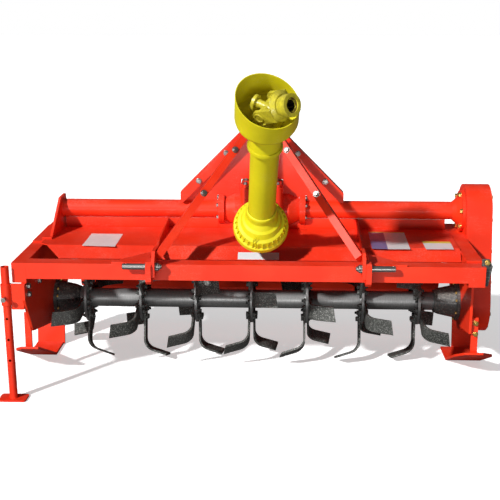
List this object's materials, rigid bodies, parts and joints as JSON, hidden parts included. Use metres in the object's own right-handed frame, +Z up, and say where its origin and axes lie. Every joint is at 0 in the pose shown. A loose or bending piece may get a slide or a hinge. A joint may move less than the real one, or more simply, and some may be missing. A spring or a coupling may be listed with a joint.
{
  "type": "three-point rotary tiller",
  "caption": "Three-point PTO rotary tiller with tined rotor, chain case, mast, skids, parking leg and yellow guarded drive shaft.",
  "frame": {"origin": "on the floor under the middle of the machine as parked", "axes": "+X to the right seen from the tractor, +Y to the rear, +Z up"},
  "size_m": [1.898, 1.2939, 1.235],
  "materials": {
    "red_paint": "gloss red paint",
    "black_paint": "semi-gloss black paint",
    "rotor_steel": "dark grey rolled steel with scale",
    "bright_steel": "zinc plated",
    "bare_steel": "machined",
    "yellow_joint": "yellow sprayed steel",
    "yellow_guard": "moulded yellow plastic"
  },
  "bodies": {
    "frame": {"front_beam": "red_paint", "side_member_left": "red_paint", "side_member_right": "red_paint", "side_plate_left": "red_paint", "side_plate_right": "red_paint", "rear_beam": "red_paint", "main_tube_left": "red_paint", "main_tube_right": "red_paint", "tube_end_plate": "red_paint", "tube_web": "red_paint", "hood": "red_paint", "gearbox": "red_paint", "gearbox_cover": "red_paint", "chain_case": "red_paint", "chain_case_cover": "red_paint", "rotor_bearing_left": "black_paint", "rotor_bearing_right": "black_paint", "hitch_lug_left": "red_paint", "hitch_lug_right": "red_paint", "hitch_pin_left": "bright_steel", "hitch_pin_right": "bright_steel", "hitch_strip_left": "red_paint", "hitch_strip_right": "red_paint", "hitch_gusset_left": "red_paint", "hitch_gusset_right": "red_paint", "mast_plate": "red_paint", "mast_strut_left": "red_paint", "mast_strut_right": "red_paint", "mast_head": "red_paint", "mast_arm_left": "red_paint", "mast_arm_right": "red_paint", "leg_bracket": "red_paint", "leg_pin": "bright_steel", "case_bracket": "black_paint", "skid_left": "red_paint", "skid_right": "red_paint", "board_rod": "bright_steel", "input_shaft": "bare_steel", "pto_yoke_gearbox": "yellow_joint"},
    "rotor": {"rotor_shaft": "black_paint", "tines_left": "rotor_steel", "tines_right": "rotor_steel"},
    "board": {"trailing_board": "red_paint"},
    "leg": {"parking_leg": "red_paint"},
    "pto_lower": {"pto_cross_lower": "yellow_joint", "pto_yoke_lower": "yellow_joint", "pto_guard_tube": "yellow_guard", "pto_bell_lower": "yellow_guard"},
    "pto_upper": {"pto_yoke_upper": "yellow_joint", "pto_bell_upper": "yellow_guard", "pto_guard_tube_inner": "yellow_guard"},
    "pto_cross": {"pto_cross_upper": "yellow_joint"},
    "pto_hub": {"pto_hub": "yellow_joint"}
  },
  "joints": [
    {"name": "rotor_spin", "type": "hinge", "parent": "frame", "child": "rotor", "pos_m": [0.029, 0.1968, 0.256], "axis": [1, 0, 0], "continuous": true},
    {"name": "board_hinge", "type": "hinge", "parent": "frame", "child": "board", "pos_m": [0.029, 0.5298, 0.41], "axis": [1, 0, 0], "range_deg": [-8, 60]},
    {"name": "leg_slide", "type": "slide", "parent": "frame", "child": "leg", "axis": [0, 0, 1], "range_m": [0, 0.225]},
    {"name": "pto_swing", "type": "hinge", "parent": "frame", "child": "pto_lower", "pos_m": [0.034, -0.1302, 0.647], "axis": [1, 0, 0], "range_deg": [-20, 65]},
    {"name": "pto_telescope", "type": "slide", "parent": "pto_lower", "child": "pto_upper", "axis": [0.0454, -0.6421, 0.7653], "range_m": [0, 0.2]},
    {"name": "pto_cross_swing", "type": "hinge", "parent": "pto_upper", "child": "pto_cross", "pos_m": [0.0628, -0.53795, 1.13294], "axis": [0.8651, -0.3578, -0.3515], "range_deg": [-44.5, 30.5]},
    {"name": "pto_hub_swing", "type": "hinge", "parent": "pto_cross", "child": "pto_hub", "pos_m": [0.0628, -0.53795, 1.13294], "axis": [0.5013, 0.5947, 0.6285], "range_deg": [-70, 0]}
  ]
}
